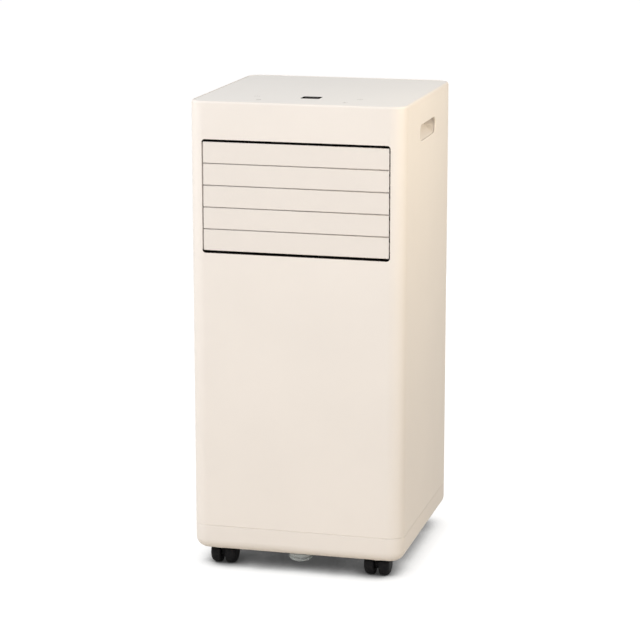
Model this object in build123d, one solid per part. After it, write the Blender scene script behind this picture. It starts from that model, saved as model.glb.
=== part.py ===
"""Portable air conditioner on casters, as separate pieces in one frame.

Millimetres. The origin is on the floor under the middle of the cabinet, the
front faces -Y, +X is the right-hand side of someone facing the front, +Z is up.
"""
from build123d import *
import os
from math import atan2, cos, degrees, hypot, radians, sin

# Cabinet
cabinet_width = 320.0
cabinet_depth = 330.0
overall_height = 700.0
corner_radius = 24.0
wall = 3.0
base_underside = 27.0
seam_height = 64.5
seam_chamfer = 1.2
top_edge_radius = 3.2
rear_seam_inset = 24.0
panel_gap = 0.3
overcut = 1.0

# Top cover, its seat in the shell's rim, display and keys
rim_width = 3.4
cover_recess = 0.5
cover_thickness = 3.0
cover_ledge_width = 6.0
cover_ledge_depth = 4.0
display_x = 4.0
display_inset = 78.0
display_length = 28.0
display_breadth = 24.0
display_corner = 3.0
display_thickness = 2.0
display_border = 2.0
key_length = 20.0
key_breadth = 12.0
key_flange = 2.0
key_flange_thickness = 1.7
key_travel = 0.5
key_stem_radius = 2.0
rear_key_x = 77.0
rear_key_inset = 75.0
front_key_x = 64.0
front_key_inset = 37.0
board_length = 200.0
board_breadth = 84.0
board_thickness = 1.6
board_drop = 10.9
board_boss_radius = 3.0
board_boss_edge = 6.0
switch_size = 6.0
switch_height = 4.3
plunger_radius = 1.6

# Front louver
louver_side_margin = 20.5
louver_top_margin = 55.0
louver_height = 166.5
louver_corner = 5.0
louver_line = 3.9
slat_count = 5
slat_gap = 1.3
slat_end_gap = 2.0
slat_recess = 0.8
slat_thickness = 2.4
slat_edge_radius = 0.7
slat_lip_gap = 0.7
slat_lip_overlap = 1.6
slat_lip_thickness = 2.0
slat_swing_radius = 19.5
pivot_depth = 10.0
pivot_radius = 2.5
pivot_boss_radius = 4.5
slat_cheek = 3.0
slat_cheek_nose = 3.6
running_clearance = 0.05
crank_radius = 9.0
crank_thickness = 2.5
crank_pin_radius = 1.5
crank_eye_radius = 3.5
link_breadth = 8.0
side_gap = 0.3

# Outlet duct behind the louver
duct_wall = 2.5
duct_headroom = 5.5
duct_front_gap = 1.5
duct_deck_gap = 0.5
vane_count = 11
vane_thickness = 1.6
vane_depth = 26.0
vane_front_slack = 7.0
vane_rear_slack = 26.0
swing_motor_radius = 11.0
swing_motor_offset = 12.0
swing_motor_length = 10.0
swing_nose_radius = 4.2
swing_nose_length = 3.5

# Hand grips in the sides
grip_y = -5.0
grip_length = 110.0
grip_drop = 40.0
grip_height = 24.0
grip_corner = 11.0
grip_lip_radius = 2.0
grip_depth = 25.0
grip_ramp = 20.0
grip_overhang = 8.0
grip_wall = 2.0

# Base pan and its casters
base_edge_radius = 16.0
base_floor = 4.0
base_lip_height = 12.0
base_lip_thickness = 2.0
front_caster_side_inset = 42.0
rear_caster_side_inset = 56.0
caster_end_inset = 40.0
caster_leads = {"front_left": -1, "front_right": -1, "rear_left": 1, "rear_right": 1}
wheel_radius = 17.0
wheel_half_gap = 3.6
wheel_face = 19.3
wheel_edge_radius = 1.8
tread_width = 7.5
hub_face_radius = 8.5
hub_cap_thickness = 1.9
dome_along = 0.75
dome_out = 0.7
axle_radius = 2.5
caster_trail = 9.0
fork_half_thickness = 3.0
fork_eye_radius = 8.0
fender_gap = 0.8
fender_thickness = 1.8
fender_half_width = 18.5
fender_share = 0.6
fork_plate_radius = 12.0
fork_plate_thickness = 4.0
fork_headroom = 2.0
stem_radius = 4.0
stem_length = 18.0
stem_boss_radius = 10.0
pocket_radius = 30.5
pocket_roof = 3.0

# Drain cup under the front of the base
drain_inset = 29.0
drain_hole_radius = 6.0
drain_ring_radius = 17.5
drain_ring_wall = 3.0
drain_ring_depth = 4.5
cup_wall = 2.0
cup_depth = 13.0
cup_bottom_radius = 10.0

# Deck between the cold and the hot compartment
deck_thickness = 3.0
deck_rim = 12.0
deck_ledge = 6.0
pipe_notch_reach = 22.0
pipe_notch_depth = 26.0

# Coils
coil_rear_inset = 32.0
coil_thickness = 38.0
fin_pitch = 10.0
fin_slot = 4.0
fin_slot_depth = 3.0
evaporator_side_room = 32.0
evaporator_headroom = 49.0
condenser_side_room = 27.0
condenser_headroom = 7.4
coil_rail_gap = 4.5
coil_rail_width = 20.0
pass_pitch = 24.0
pass_margin = 12.0
bend_reach = 12.0
bend_tube_radius = 4.0
bend_corner = 9.0

# Blowers
casing_wall = 2.5
cold_coil_gap = 2.0
cold_front_gap = 1.5
cold_top_gap = 1.5
cold_half_width = 95.0
cold_scroll_radius = 84.0
cold_wheel_radius = 66.0
cold_outlet_height = 144.0
hot_front_gap = 6.0
hot_hang = 31.0
hot_half_width = 75.0
hot_scroll_radius = 74.0
hot_wheel_radius = 56.0
hot_outlet_height = 94.0
hanger_spacing = 60.0
hanger_length = 60.0
wheel_side_gap = 9.0
inlet_lap = 12.0
blade_count = 36
blade_length = 12.0
blade_thickness = 1.2
blade_lean = 35.0
ring_thickness = 3.0
disc_thickness = 4.0
hub_radius = 12.0
hub_length = 30.0
shaft_radius = 4.0
motor_radius = 34.0
motor_length = 40.0
motor_edge_radius = 5.0
arm_count = 3
arm_width = 9.0
arm_thickness = 3.0
shaft_socket = 14.0

# Exhaust
exhaust_deck_gap = 5.0
exhaust_bore_radius = 65.0
spigot_wall = 3.0
spigot_length = 24.5
exhaust_box_height = 146.0
exhaust_box_depth = 40.1
guard_bars = 5
guard_bar_width = 3.0

# Compressor and refrigerant circuit
compressor_side_room = 87.0
compressor_front_room = 85.0
compressor_radius = 53.0
compressor_floor_gap = 18.0
compressor_headroom = 18.0
compressor_dome = 22.0
foot_circle = 58.0
foot_radius = 11.0
foot_boss_height = 14.0
grommet_height = 10.0
grommet_radius = 10.0
foot_plate = 3.0
foot_plate_radius = 46.4
foot_angles = (30.0, 150.0, 270.0)
stud_radius = 3.0
stud_clearance = 0.3
nut_size = 5.5
nut_height = 5.0
stud_past_nut = 2.5
accumulator_beside = 75.0
accumulator_behind = 30.0
accumulator_radius = 20.0
accumulator_rise = 54.0
accumulator_drop = 28.0
accumulator_dome = 12.0
strap_height = 14.0
strap_width = 20.0
strap_drop = 12.0
accumulator_pipe_drop = 20.0
pipe_radius = 4.0
liquid_pipe_radius = 2.5
pipe_bend = 10.0
discharge_offset = 25.0
discharge_rise = 37.0
riser_gap = 2.0
liquid_riser_gap = 3.0

# Electrical box under the deck
box_gap = 12.0
box_width = 115.0
box_depth = 55.0
box_height = 130.0
box_corner = 4.0

# Splash wheel that throws the condensate on the condenser
splash_x = 75.0
splash_rise = 54.0
splash_motor_radius = 18.0
splash_motor_length = 24.0
splash_shaft_radius = 2.0
splash_radius = 26.0
splash_thickness = 4.0
splash_paddles = 8
splash_paddle_depth = 8.0
splash_gap = 6.0
splash_foot_width = 24.0
splash_foot_depth = 14.0

# Rear panel, filter grilles, cord gland and screws
grille_side_inset = 40.0
upper_grille_top_margin = 59.0
upper_grille_port_gap = 27.0
lower_grille_rise = 43.0
lower_grille_port_gap = 24.0
grille_corner = 6.0
grille_gap = 0.4
grille_frame = 8.0
grille_depth = 12.0
grille_skin = 6.0
grille_bar = 2.6
grille_pitch = 8.0
grille_columns = 4
grille_stop = 4.0
grille_stop_thickness = 2.0
mesh_thickness = 1.0
gland_side_inset = 60.0
gland_rise = 26.0
gland_radius = 8.5
gland_flange_radius = 11.0
gland_flange_thickness = 4.0
gland_bore_radius = 4.0
rear_lip_reach = 4.5
rear_lip_thickness = 2.0
screw_side_inset = 30.0
low_screw_rise = 26.0
middle_screw_drop = 70.0
high_screw_drop = 45.0
screw_radius = 2.0
screw_head_radius = 4.0
screw_head_height = 2.4
screw_boss_radius = 5.5
lug_reach = 8.0
lug_height = 16.0
lug_thickness = 4.0

# Places that follow from the sizes above: cabinet, cover and keys
half_width = cabinet_width / 2
half_depth = cabinet_depth / 2
front_y = -half_depth
inner_x = half_width - wall
rear_seam = half_depth - rear_seam_inset
cover_top = overall_height - cover_recess
cover_seat = cover_top - cover_thickness
ledge_bottom = cover_seat - cover_ledge_depth
board_top = cover_seat - board_drop
display_y = front_y + display_inset
key_places = {
    "key_power": (-rear_key_x, front_y + rear_key_inset),
    "key_mode": (-front_key_x, front_y + front_key_inset),
    "key_fan_speed": (front_key_x, front_y + front_key_inset),
    "key_timer": (rear_key_x, front_y + rear_key_inset),
}

# Louver, grips and outlet duct
louver_half_width = half_width - louver_side_margin
louver_top = overall_height - louver_top_margin
louver_bottom = louver_top - louver_height
louver_mid = louver_bottom + louver_height / 2
slat_pitch = (louver_height - 2 * louver_line + slat_gap) / slat_count
slat_half_length = louver_half_width - slat_end_gap
pivot_y = front_y + pivot_depth
slat_face = slat_recess - pivot_depth
slat_back = slat_face + slat_thickness
slat_half_height = (slat_pitch - slat_gap) / 2
pivot_heights = [louver_mid + slat_pitch * (i - (slat_count - 1) / 2) for i in range(slat_count)]
grip_bottom = overall_height - grip_drop - grip_height
duct_inner_x = louver_half_width
duct_outer_x = duct_inner_x + duct_wall
duct_front = front_y + wall + duct_front_gap
duct_bottom = louver_bottom - duct_headroom
duct_top = louver_top + duct_headroom
crank_x = -(duct_outer_x + side_gap)
link_x = crank_x - crank_thickness - side_gap

# Base pan, casters and drain
base_floor_top = base_underside + base_floor
front_caster_x = half_width - front_caster_side_inset
rear_caster_x = half_width - rear_caster_side_inset
caster_y = half_depth - caster_end_inset
axle_z = wheel_radius
fork_top = 2 * wheel_radius + fender_gap + fender_thickness + fork_plate_thickness
pocket_ceiling = fork_top + fork_headroom
stem_top = fork_top + stem_length
drain_y = front_y + drain_inset
cup_top = base_underside - panel_gap
cup_outer_radius = drain_ring_radius + panel_gap + cup_wall

# Cold compartment, from the deck up
deck_top = duct_bottom - duct_wall - duct_deck_gap - deck_rim
deck_underside = deck_top - deck_thickness
pipe_notch_x = half_width - pipe_notch_reach
coil_back = half_depth - coil_rear_inset
coil_front = coil_back - coil_thickness
evaporator_half_width = inner_x - evaporator_side_room
evaporator_height = overall_height - evaporator_headroom - deck_top
evaporator_passes = 2 * int((evaporator_height - 2 * pass_margin + pass_pitch) / (2 * pass_pitch))
cold_axis_y = coil_front - cold_coil_gap - cold_scroll_radius
cold_axis_z = duct_top - cold_top_gap - cold_scroll_radius
duct_rear = cold_axis_y - cold_scroll_radius - cold_front_gap
cold_outlet_y = duct_rear

# Hot compartment, from the deck down
box_x1 = inner_x - box_gap
box_x0 = box_x1 - box_width
box_front = front_y + wall + box_gap
box_back = box_front + box_depth
box_top = deck_underside
hot_axis_y = box_back + hot_front_gap + hot_scroll_radius
hot_axis_z = deck_underside - hot_hang - hot_scroll_radius
exhaust_z = deck_underside - exhaust_deck_gap - exhaust_box_height / 2
spigot_rear = half_depth - grille_gap
spigot_front = spigot_rear - spigot_length
hot_outlet_y = spigot_front - exhaust_box_depth
condenser_half_width = inner_x - condenser_side_room
condenser_bottom = stem_top + pocket_roof
condenser_height = exhaust_z - exhaust_box_height / 2 - condenser_headroom - condenser_bottom
condenser_passes = 2 * int((condenser_height - 2 * pass_margin) / (2 * pass_pitch)) + 1
coil_rail_x = rear_caster_x - pocket_radius - pocket_roof - coil_rail_gap - coil_rail_width
compressor_x = compressor_side_room - inner_x
compressor_y = front_y + compressor_front_room
compressor_bottom = base_floor_top + compressor_floor_gap
compressor_top = hot_axis_z - hot_scroll_radius - compressor_headroom
foot_boss_top = base_floor_top + foot_boss_height
foot_plate_bottom = foot_boss_top + grommet_height
accumulator_x = compressor_x + accumulator_beside
accumulator_y = compressor_y + accumulator_behind
accumulator_bottom = compressor_bottom + accumulator_rise
accumulator_top = compressor_top - accumulator_drop
strap_z = (accumulator_bottom + accumulator_top) / 2 - strap_drop
accumulator_pipe_z = accumulator_bottom - accumulator_pipe_drop
discharge_x = compressor_x - discharge_offset
discharge_z = compressor_top + discharge_rise
riser_x = inner_x - riser_gap - pipe_radius
liquid_riser_x = inner_x - liquid_riser_gap - liquid_pipe_radius
splash_z = base_floor_top + splash_rise

# Rear panel
grille_half_width = half_width - grille_side_inset
grille_front = half_depth - grille_gap - grille_depth
upper_grille_z = exhaust_z + exhaust_bore_radius + upper_grille_port_gap
upper_grille_height = overall_height - upper_grille_top_margin - upper_grille_z
lower_grille_z = seam_height + lower_grille_rise
lower_grille_height = exhaust_z - exhaust_bore_radius - lower_grille_port_gap - lower_grille_z
gland_x = half_width - gland_side_inset
gland_z = seam_height + gland_rise
screw_x = half_width - screw_side_inset
screw_heights = (seam_height + low_screw_rise, deck_underside - middle_screw_drop, overall_height - high_screw_drop)
lug_inner_x = screw_x - lug_reach


def block(x0, x1, y0, y1, z0, z1):
    """Rectangular block between two opposite corners."""
    middle = Pos((x0 + x1) / 2, (y0 + y1) / 2, (z0 + z1) / 2)
    return middle * Box(x1 - x0, y1 - y0, z1 - z0)


def prism_x(sketch, x0, x1):
    """Solid whose section in Y and Z is the sketch, from x0 to x1."""
    return extrude(Plane((x0, 0, 0), x_dir=(0, 1, 0), z_dir=(1, 0, 0)) * sketch, x1 - x0, dir=(1, 0, 0))


def prism_y(sketch, y0, y1):
    """Solid whose section in X and Z is the sketch, from y0 to y1."""
    return extrude(Plane((0, y1, 0), x_dir=(1, 0, 0), z_dir=(0, -1, 0)) * sketch, y1 - y0, dir=(0, -1, 0))


def prism_z(sketch, z0, z1):
    """Solid whose section in X and Y is the sketch, from z0 to z1."""
    return extrude(Pos(0, 0, z0) * sketch, z1 - z0, dir=(0, 0, 1))


def rod_x(radius, x0, x1, y, z):
    """Round bar along X."""
    return prism_x(Pos(y, z) * Circle(radius), x0, x1)


def rod_y(radius, y0, y1, x, z):
    """Round bar along Y."""
    return prism_y(Pos(x, z) * Circle(radius), y0, y1)


def rod_z(radius, z0, z1, x, y):
    """Round bar along Z."""
    return prism_z(Pos(x, y) * Circle(radius), z0, z1)


def tube_along(points, radius, bend):
    """Round bar along straight runs joined by arcs of one radius."""
    path = FilletPolyline(*points, radius=bend)
    section = Plane(points[0], z_dir=path % 0) * Circle(radius)
    return sweep(section, path=path)


def group(solids):
    """Separate solids that share one node."""
    return Compound(children=[solid for shape in solids for solid in shape.solids()])


def outline(inset):
    """Cabinet's plan outline, drawn in by an inset."""
    return RectangleRounded(cabinet_width - 2 * inset, cabinet_depth - 2 * inset, corner_radius - inset)


def ring(inset, thickness, z0, z1):
    """Wall that follows the cabinet's outline."""
    return prism_z(outline(inset), z0, z1) - prism_z(outline(inset + thickness), z0, z1)


def front_half(y):
    """Everything in front of a plane across the cabinet."""
    return block(-cabinet_width, cabinet_width, -cabinet_depth, y, 0, 2 * overall_height)


def rear_half(y):
    """Everything behind a plane across the cabinet."""
    return block(-cabinet_width, cabinet_width, y, cabinet_depth, 0, 2 * overall_height)


def cabinet_tube():
    """Whole cabinet wall with its top rim and the ledge that carries the cover."""
    body = prism_z(outline(0), seam_height, overall_height)
    body = fillet(body.faces().sort_by(Axis.Z)[-1].edges(), top_edge_radius)
    body = chamfer(body.faces().sort_by(Axis.Z)[0].edges(), seam_chamfer)
    body -= prism_z(outline(wall), seam_height - overcut, ledge_bottom)
    body -= prism_z(outline(rim_width + cover_ledge_width), ledge_bottom - overcut, cover_seat)
    body -= prism_z(outline(rim_width), cover_seat, overall_height + overcut)
    return body


def louver_opening():
    """Cut for the air outlet in the front wall."""
    window = Pos(0, louver_mid) * RectangleRounded(2 * louver_half_width, louver_height, louver_corner)
    return prism_y(window, front_y - overcut, front_y + wall + overcut)


def grip_sketch(height, grow):
    """Mouth of a hand grip in Y and Z, from the grip's bottom up."""
    middle = Pos(grip_y, grip_bottom + height / 2)
    return middle * RectangleRounded(grip_length + 2 * grow, height + 2 * grow, grip_corner + grow)


def make_front_shell():
    """Front and both sides in one moulding."""
    shell = cabinet_tube() & front_half(rear_seam - panel_gap)
    shell -= louver_opening()
    for side in (-1, 1):
        ends = sorted((side * (half_width - wall - overcut), side * (half_width + overcut)))
        shell -= prism_x(grip_sketch(grip_height, 0), *ends)
        mouth = [edge for edge in shell.edges() if abs(edge.center().X - side * half_width) < running_clearance
                 and abs(edge.center().Z - grip_bottom - grip_height / 2) < grip_height]
        shell = fillet(mouth, grip_lip_radius)
        ledge = sorted((side * (inner_x + wall / 2), side * (inner_x - deck_ledge)))
        shell += block(*ledge, front_y + corner_radius, coil_rows()[0] - pipe_notch_depth / 2,
                       deck_underside - deck_ledge, deck_underside)
        for height in screw_heights:
            lug = sorted((side * (inner_x + wall / 2), side * lug_inner_x))
            lug_back = rear_seam - 2 * panel_gap
            shell += block(*lug, lug_back - lug_thickness, lug_back,
                           height - lug_height / 2, height + lug_height / 2)
            shell -= rod_y(screw_radius, lug_back - lug_thickness - overcut, lug_back + overcut,
                           side * screw_x, height)
    return shell


def grille_window(z0, height, inset):
    """Outline of a filter grille in X and Z, drawn in by an inset."""
    middle = Pos(0, z0 + height / 2)
    return middle * RectangleRounded(2 * (grille_half_width - inset), height - 2 * inset, grille_corner)


def make_rear_panel():
    """Back wall with the rear corners, filter openings and exhaust hole."""
    panel = cabinet_tube() & rear_half(rear_seam)
    lip_bottom = seam_height + base_lip_height + 2 * panel_gap
    lip_top = ledge_bottom - overcut
    lip = ring(wall + panel_gap, rear_lip_thickness, lip_bottom, lip_top)
    lip += ring(wall / 2, wall / 2 + panel_gap + rear_lip_thickness, lip_bottom, lip_top) & rear_half(rear_seam)
    lip &= rear_half(rear_seam - rear_lip_reach) & front_half(rear_seam + rear_lip_reach)
    for height in screw_heights:
        for side in (-1, 1):
            room = sorted((side * (lug_inner_x - overcut), side * half_width))
            lip -= block(*room, 0, rear_seam, height - lug_height / 2 - overcut, height + lug_height / 2 + overcut)
    panel += lip
    for z0, height in ((upper_grille_z, upper_grille_height), (lower_grille_z, lower_grille_height)):
        stop_front = grille_front - panel_gap - grille_stop_thickness
        panel += prism_y(grille_window(z0, height, -wall), stop_front, half_depth - wall / 2)
        panel -= prism_y(grille_window(z0, height, grille_stop), stop_front - overcut, half_depth + overcut)
        panel -= prism_y(grille_window(z0, height, 0), grille_front - panel_gap, half_depth + overcut)
    panel -= rod_y(exhaust_bore_radius + spigot_wall + panel_gap, rear_seam, half_depth + overcut, 0, exhaust_z)
    panel -= rod_y(gland_radius, rear_seam, half_depth + overcut, gland_x, gland_z)
    for height in screw_heights:
        for side in (-1, 1):
            panel += rod_y(screw_boss_radius, rear_seam, half_depth - wall / 2, side * screw_x, height)
            panel -= rod_y(screw_radius, rear_seam - overcut, half_depth + overcut, side * screw_x, height)
            panel -= rod_y(screw_head_radius, half_depth - screw_head_height, half_depth + overcut,
                           side * screw_x, height)
    return panel


def make_grille(z0, height):
    """Removable filter grille: a deep frame with slotted skin."""
    middle = z0 + height / 2
    rear = half_depth - grille_gap
    body = prism_y(grille_window(z0, height, grille_gap), grille_front, rear)
    body -= prism_y(grille_window(z0, height, grille_frame), grille_front - overcut, rear - grille_skin)
    clear_width = 2 * (grille_half_width - grille_frame)
    clear_height = height - 2 * grille_frame
    column = clear_width / grille_columns
    rows = int(clear_height / grille_pitch)
    slot = Rectangle(column - grille_bar, grille_pitch - grille_bar)
    slots = Sketch() + [Pos(0, middle) * place * slot
                        for place in GridLocations(column, grille_pitch, grille_columns, rows)]
    return body - prism_y(slots, rear - grille_skin - overcut, rear + overcut)


def make_filter(z0, height):
    """Washable mesh held in the back of a filter grille."""
    rear = half_depth - grille_gap - grille_skin - panel_gap
    return prism_y(grille_window(z0, height, grille_frame + panel_gap), rear - mesh_thickness, rear)


def make_top_cover():
    """Lid that drops into the rim, with the display window and key holes."""
    cover = prism_z(outline(rim_width + panel_gap), cover_seat, cover_top)
    window = Pos(display_x, display_y)
    seat = window * RectangleRounded(display_length + 2 * panel_gap, display_breadth + 2 * panel_gap, display_corner)
    light = window * Rectangle(display_length - 2 * display_border, display_breadth - 2 * display_border)
    cover -= prism_z(seat, cover_top - display_thickness, cover_top + overcut)
    cover -= prism_z(light, cover_seat - overcut, cover_top + overcut)
    for place in key_places.values():
        cover -= prism_z(Pos(*place) * SlotOverall(key_length, key_breadth), cover_seat - overcut, cover_top + overcut)
    for x, y in board_corners():
        cover += rod_z(board_boss_radius, board_top, cover_seat + cover_thickness / 2, x, y)
    return cover


def board_middle():
    """Middle of the control board, under the display and the keys."""
    ys = [place[1] for place in key_places.values()]
    return 0.0, (min(ys) + max(ys)) / 2


def board_corners():
    """Places of the four bosses that carry the control board."""
    x, y = board_middle()
    dx = board_length / 2 - board_boss_edge
    dy = board_breadth / 2 - board_boss_edge
    return [(x + i * dx, y + j * dy) for i in (-1, 1) for j in (-1, 1)]


def make_display():
    """Dark window over the figures."""
    window = Pos(display_x, display_y) * RectangleRounded(display_length, display_breadth, display_corner - panel_gap)
    return prism_z(window, cover_top - display_thickness, cover_top)


def make_key(place):
    """Flush key with a flange under the lid and a stem over its switch."""
    plunger_top = board_top + switch_height + 2 * key_travel
    cap = SlotOverall(key_length - 2 * panel_gap, key_breadth - 2 * panel_gap)
    flange = SlotOverall(key_length + 2 * key_flange, key_breadth + 2 * key_flange)
    flange_top = cover_seat - panel_gap
    key = prism_z(Pos(*place) * cap, flange_top - key_flange_thickness, cover_top)
    key += prism_z(Pos(*place) * flange, flange_top - key_flange_thickness, flange_top)
    return key + rod_z(key_stem_radius, plunger_top + key_travel + running_clearance, flange_top, *place)


def make_control_board():
    """Circuit board with a switch under each key and the figure module."""
    x, y = board_middle()
    board = block(x - board_length / 2, x + board_length / 2, y - board_breadth / 2, y + board_breadth / 2,
                  board_top - board_thickness, board_top)
    for place in key_places.values():
        board += prism_z(Pos(*place) * Rectangle(switch_size, switch_size), board_top - board_thickness / 2,
                         board_top + switch_height)
        board += rod_z(plunger_radius, board_top, board_top + switch_height + 2 * key_travel, *place)
    module = Pos(display_x, display_y) * Rectangle(display_length - 4 * display_border,
                                                   display_breadth - 4 * display_border)
    return board + prism_z(module, board_top - board_thickness / 2, cover_seat - panel_gap)


def make_grip_cups():
    """Two scooped cups behind the hand grips' mouths, each with a ramp that rises inwards."""
    cups = []
    over = grip_bottom + grip_height + 2 * grip_overhang
    y0 = grip_y - grip_length
    y1 = grip_y + grip_length
    for side in (-1, 1):
        mouth = side * inner_x
        back = mouth - side * grip_depth
        low = (mouth + side * wall, grip_bottom - wall * grip_ramp / grip_depth)
        wedge = make_face(Polyline(low, (back, grip_bottom + grip_ramp), (back, over), (mouth + side * wall, over),
                                   close=True))
        reach = sorted((mouth, back - side * 2 * grip_wall))
        hollow = prism_y(wedge, y0, y1) & prism_x(grip_sketch(grip_height + grip_overhang, 0), *reach)
        skin = prism_y(offset(wedge, grip_wall), y0, y1)
        skin &= prism_x(grip_sketch(grip_height + grip_overhang, grip_wall), *reach)
        cups.append(skin - hollow)
    return group(cups)


def make_base_pan():
    """Tray under the cabinet with caster sockets, compressor seats and drain."""
    pan = prism_z(outline(0), base_underside, seam_height)
    pan = fillet(pan.faces().sort_by(Axis.Z)[0].edges(), base_edge_radius)
    pan = chamfer(pan.faces().sort_by(Axis.Z)[-1].edges(), seam_chamfer)
    sump = prism_z(outline(wall), base_floor_top, seam_height + overcut)
    sump = fillet(sump.faces().sort_by(Axis.Z)[0].edges(), base_edge_radius - wall)
    pan -= sump
    pan += ring(wall / 2, wall / 2 + panel_gap + base_lip_thickness, seam_height - base_lip_height / 2,
                seam_height - seam_chamfer)
    pan += ring(wall + panel_gap, base_lip_thickness, seam_height - 2 * seam_chamfer, seam_height + base_lip_height)
    for x, y in caster_places():
        pan += rod_z(pocket_radius + pocket_roof, base_floor_top - base_floor / 2, pocket_ceiling + pocket_roof, x, y)
        pan += rod_z(stem_boss_radius, pocket_ceiling, stem_top + pocket_roof, x, y)
        pan -= rod_z(pocket_radius, base_underside - overcut, pocket_ceiling, x, y)
        pan -= rod_z(stem_radius + running_clearance, pocket_ceiling - overcut, stem_top, x, y)
    for x, y in foot_places():
        pan += rod_z(foot_radius, base_floor_top - base_floor / 2, foot_boss_top, x, y)
    for side in (-1, 1):
        rail = sorted((side * coil_rail_x, side * (coil_rail_x + coil_rail_width)))
        pan += block(*rail, coil_front, coil_back, base_floor_top - base_floor / 2, condenser_bottom)
    pan += rod_z(drain_ring_radius, base_underside - drain_ring_depth, base_floor_top, 0, drain_y)
    pan -= rod_z(drain_ring_radius - drain_ring_wall, base_underside - drain_ring_depth - overcut,
                 base_underside, 0, drain_y)
    return pan - rod_z(drain_hole_radius, 0, seam_height, 0, drain_y)


def make_drain_cup():
    """Clear cup pushed over the drain ring."""
    bottom = cup_top - cup_depth
    cup = rod_z(cup_outer_radius, bottom, cup_top, 0, drain_y)
    cup = fillet(cup.faces().sort_by(Axis.Z)[0].edges(), cup_bottom_radius)
    hollow = rod_z(cup_outer_radius - cup_wall, bottom + cup_wall, cup_top + overcut, 0, drain_y)
    hollow = fillet(hollow.faces().sort_by(Axis.Z)[0].edges(), cup_bottom_radius - cup_wall)
    return cup - hollow


def caster_places():
    """Stems of the four casters, in the order of caster_leads."""
    return [(i * x, y) for x, y in ((front_caster_x, -caster_y), (rear_caster_x, caster_y)) for i in (-1, 1)]


def make_fork(x, y, lead):
    """Caster fork with its stem, fender and pressed-in axle; lead is the side the wheels trail to."""
    axle_y = y + lead * caster_trail
    plate_bottom = fork_top - fork_plate_thickness
    outer = wheel_radius + fender_gap + fender_thickness
    web = Pos(axle_y, axle_z) * Circle(fork_eye_radius)
    web += make_face(Polyline((axle_y + lead * fork_eye_radius, axle_z), (axle_y + lead * fork_eye_radius, plate_bottom),
                              (y - lead * fork_plate_radius, plate_bottom), (axle_y - lead * fork_eye_radius, axle_z),
                              close=True))
    fork = prism_x(web, x - fork_half_thickness, x + fork_half_thickness)
    arch = Pos(axle_y, axle_z) * (Circle(outer) - Circle(outer - fender_thickness))
    arch &= Pos(axle_y, axle_z + outer) * Rectangle(2 * outer, fender_share * outer)
    fork += prism_x(arch, x - fender_half_width, x + fender_half_width)
    fork += rod_z(fork_plate_radius, plate_bottom - fender_thickness, fork_top, x, y) & block(
        x - fender_half_width, x + fender_half_width, -cabinet_depth, cabinet_depth, 0, overall_height)
    fork -= prism_x(Pos(axle_y, axle_z) * Circle(outer - fender_thickness), x + fork_half_thickness, x + wheel_face)
    fork -= prism_x(Pos(axle_y, axle_z) * Circle(outer - fender_thickness), x - wheel_face, x - fork_half_thickness)
    fork += rod_z(stem_radius, fork_top - overcut, stem_top - panel_gap, x, y)
    axle_end = wheel_face - hub_cap_thickness - panel_gap
    fork -= rod_x(axle_radius, x - axle_end, x + axle_end, axle_y, axle_z)
    return group([fork, rod_x(axle_radius, x - axle_end, x + axle_end, axle_y, axle_z)])


def make_wheel(x, y, lead, side):
    """One of the two domed wheels of a caster, free on the axle."""
    bore = axle_radius + running_clearance
    edge_end = wheel_half_gap + wheel_edge_radius
    dome_start = edge_end + tread_width
    bulge_x = dome_start + dome_along * (wheel_face - dome_start)
    bulge_r = hub_face_radius + dome_out * (wheel_radius - hub_face_radius)
    bore_end = wheel_face - hub_cap_thickness
    profile = [
        Line((wheel_half_gap, bore), (wheel_half_gap, wheel_radius - wheel_edge_radius)),
        Line((wheel_half_gap, wheel_radius - wheel_edge_radius), (edge_end, wheel_radius)),
        Line((edge_end, wheel_radius), (dome_start, wheel_radius)),
        ThreePointArc((dome_start, wheel_radius), (bulge_x, bulge_r), (wheel_face, hub_face_radius)),
        Line((wheel_face, hub_face_radius), (wheel_face, 0)),
        Line((wheel_face, 0), (bore_end, 0)),
        Line((bore_end, 0), (bore_end, bore)),
        Line((bore_end, bore), (wheel_half_gap, bore)),
    ]
    wheel = revolve(make_face(profile), Axis.X)
    if side < 0:
        wheel = mirror(wheel, Plane.YZ)
    return Pos(x, y + lead * caster_trail, axle_z) * wheel


def make_outlet_duct():
    """Box behind the louver that carries the slat pivots and guide vanes."""
    duct = block(-duct_outer_x, duct_outer_x, duct_front, duct_rear, duct_bottom - duct_wall, duct_top + duct_wall)
    duct -= block(-duct_inner_x, duct_inner_x, duct_front - overcut, duct_rear - duct_wall, duct_bottom, duct_top)
    outlet_low, outlet_high = cold_outlet()
    duct -= block(-cold_half_width + casing_wall, cold_half_width - casing_wall, duct_rear - 2 * duct_wall,
                  duct_rear + overcut, outlet_low + casing_wall, outlet_high - casing_wall)
    for z in pivot_heights:
        duct -= rod_x(pivot_radius + running_clearance, -half_width, half_width, pivot_y, z)
    swing_end = pivot_y + slat_swing_radius
    slack = duct_rear - swing_end - vane_depth
    vane_front = swing_end + slack * vane_front_slack / (vane_front_slack + vane_rear_slack)
    spacing = 2 * duct_inner_x / (vane_count + 1)
    for i in range(vane_count):
        x = spacing * (i + 1) - duct_inner_x
        duct += block(x - vane_thickness / 2, x + vane_thickness / 2, vane_front, vane_front + vane_depth,
                      duct_bottom - duct_wall / 2, duct_top + duct_wall / 2)
    return duct


def cold_outlet():
    """Lower and upper edge of the cold blower's outlet."""
    high = cold_axis_z + cold_scroll_radius
    return high - cold_outlet_height, high


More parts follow.
